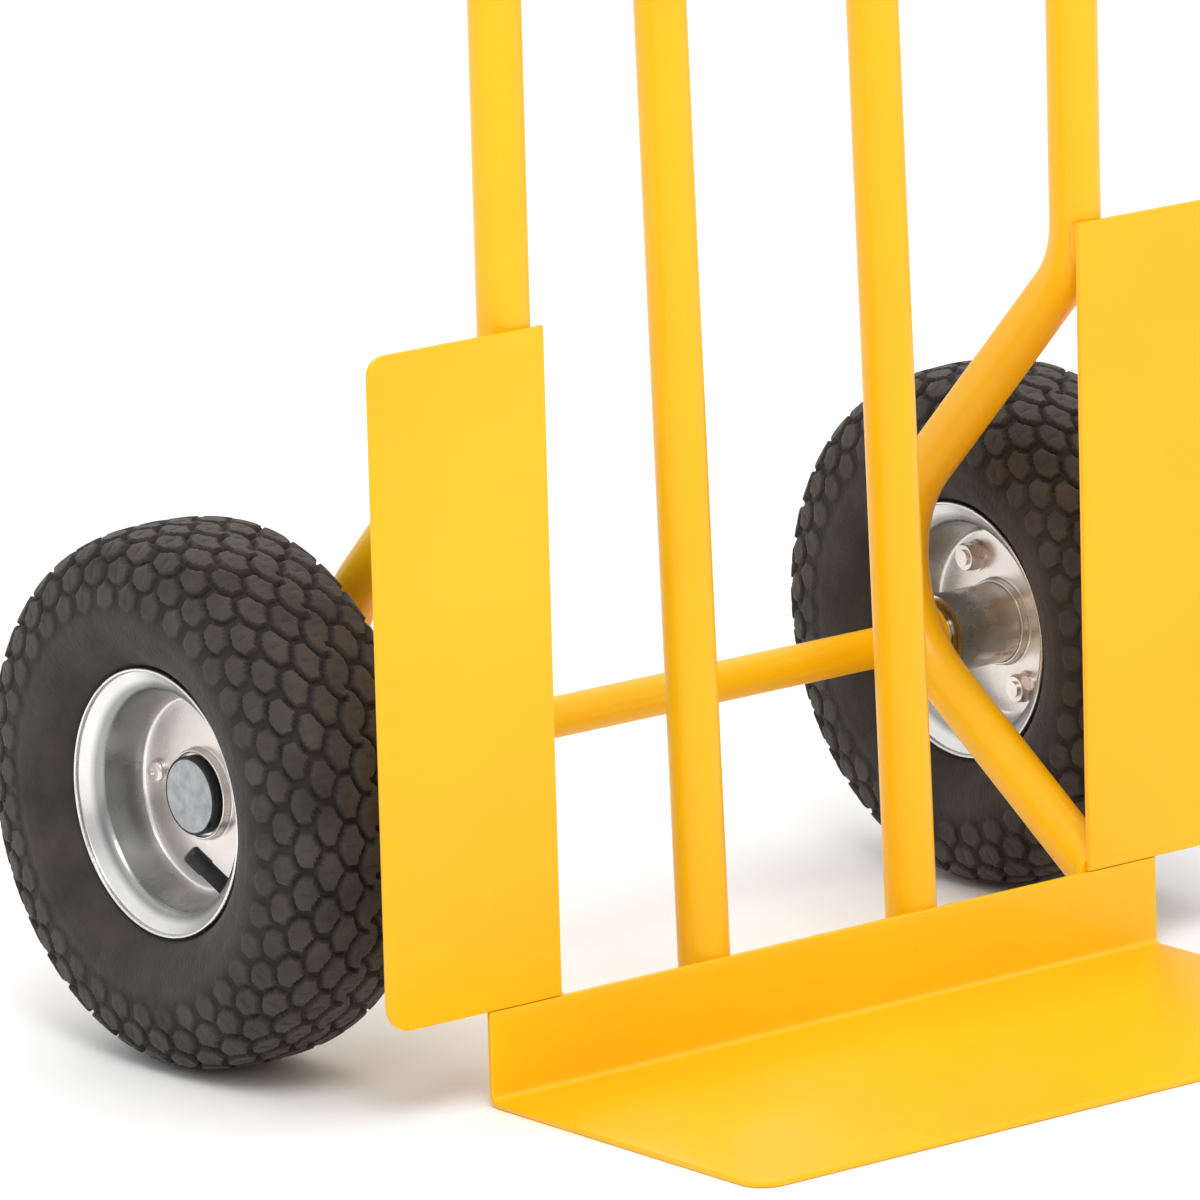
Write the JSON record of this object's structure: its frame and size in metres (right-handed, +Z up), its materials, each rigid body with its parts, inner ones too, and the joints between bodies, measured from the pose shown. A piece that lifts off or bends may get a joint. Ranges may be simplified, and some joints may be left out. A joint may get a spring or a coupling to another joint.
{
  "type": "hand truck",
  "caption": "Upright two-wheel hand truck with a folded toe plate, wheel guards, bent tube frame, bearing-mounted air-filled tyres and rear-facing grips.",
  "frame": {"origin": "on the floor, in the middle of the footprint of the toe plate and tyres", "axes": "+X across the truck to the right as seen from the toe plate side, +Y to the rear (wheel side), +Z up; the truck stands upright on both tyres and the toe plate"},
  "size_m": [0.579, 0.4835, 1.1178],
  "materials": {
    "yellow_paint": "gloss",
    "black_plastic": "satin",
    "black_grip": "matte",
    "bearing_steel": "polished",
    "zinc_plate": "satin",
    "spring_steel": "satin",
    "cage_steel": "satin",
    "tyre_rubber": "matte",
    "tube_rubber": "matte",
    "valve_rubber": "matte",
    "cap_metal": "satin"
  },
  "bodies": {
    "root": {"toe_plate": "yellow_paint", "straight_cross_bar": "yellow_paint", "bowed_cross_bar": "yellow_paint", "axle": "yellow_paint", "upright_foot_plugs": "black_plastic", "cross_bar_welds": "yellow_paint", "sheet_welds": "yellow_paint", "axle_welds": "yellow_paint", "left_guard_plate": "yellow_paint", "left_side_tube": "yellow_paint", "left_inner_upright": "yellow_paint", "left_handle_grip": "black_grip", "left_axle_collar": "yellow_paint", "left_axle_spacer": "bearing_steel", "left_bearing_inner_races": "bearing_steel", "left_bearing_distance_tube": "zinc_plate", "left_axle_washer": "zinc_plate", "left_axle_circlip": "spring_steel", "right_guard_plate": "yellow_paint", "right_side_tube": "yellow_paint", "right_inner_upright": "yellow_paint", "right_handle_grip": "black_grip", "right_axle_collar": "yellow_paint", "right_axle_spacer": "bearing_steel", "right_bearing_inner_races": "bearing_steel", "right_bearing_distance_tube": "zinc_plate", "right_axle_washer": "zinc_plate", "right_axle_circlip": "spring_steel"},
    "left_wheel": {"left_tyre": "tyre_rubber", "left_air_tube": "tube_rubber", "left_rim_outer_half": "zinc_plate", "left_rim_inner_half": "zinc_plate", "left_hub": "zinc_plate", "left_rim_bolts": "zinc_plate", "left_rim_washers": "zinc_plate", "left_rim_nuts": "zinc_plate", "left_valve_stem": "valve_rubber", "left_valve_cap": "black_plastic", "left_hub_cap": "black_plastic", "left_hub_cap_face": "cap_metal", "left_bearing_outer_races": "bearing_steel", "left_bearing_shields": "bearing_steel"},
    "left_bearing_rollers": {"left_bearing_balls": "bearing_steel", "left_bearing_cages": "cage_steel"},
    "right_wheel": {"right_tyre": "tyre_rubber", "right_air_tube": "tube_rubber", "right_rim_outer_half": "zinc_plate", "right_rim_inner_half": "zinc_plate", "right_hub": "zinc_plate", "right_rim_bolts": "zinc_plate", "right_rim_washers": "zinc_plate", "right_rim_nuts": "zinc_plate", "right_valve_stem": "valve_rubber", "right_valve_cap": "black_plastic", "right_hub_cap": "black_plastic", "right_hub_cap_face": "cap_metal", "right_bearing_outer_races": "bearing_steel", "right_bearing_shields": "bearing_steel"},
    "right_bearing_rollers": {"right_bearing_balls": "bearing_steel", "right_bearing_cages": "cage_steel"}
  },
  "joints": [
    {"name": "left_wheel_spin", "type": "hinge", "parent": "root", "child": "left_wheel", "pos_m": [-0.247, 0.11175, 0.13], "axis": [1, 0, 0], "continuous": true},
    {"name": "left_rollers_spin", "type": "hinge", "parent": "root", "child": "left_bearing_rollers", "pos_m": [-0.247, 0.11175, 0.13], "axis": [1, 0, 0], "continuous": true},
    {"name": "right_wheel_spin", "type": "hinge", "parent": "root", "child": "right_wheel", "pos_m": [0.247, 0.11175, 0.13], "axis": [1, 0, 0], "continuous": true},
    {"name": "right_rollers_spin", "type": "hinge", "parent": "root", "child": "right_bearing_rollers", "pos_m": [0.247, 0.11175, 0.13], "axis": [1, 0, 0], "continuous": true}
  ],
  "couplings": [
    {"joint": "left_rollers_spin", "follows": "left_wheel_spin", "ratio": 0.5761},
    {"joint": "right_rollers_spin", "follows": "right_wheel_spin", "ratio": 0.5761}
  ]
}
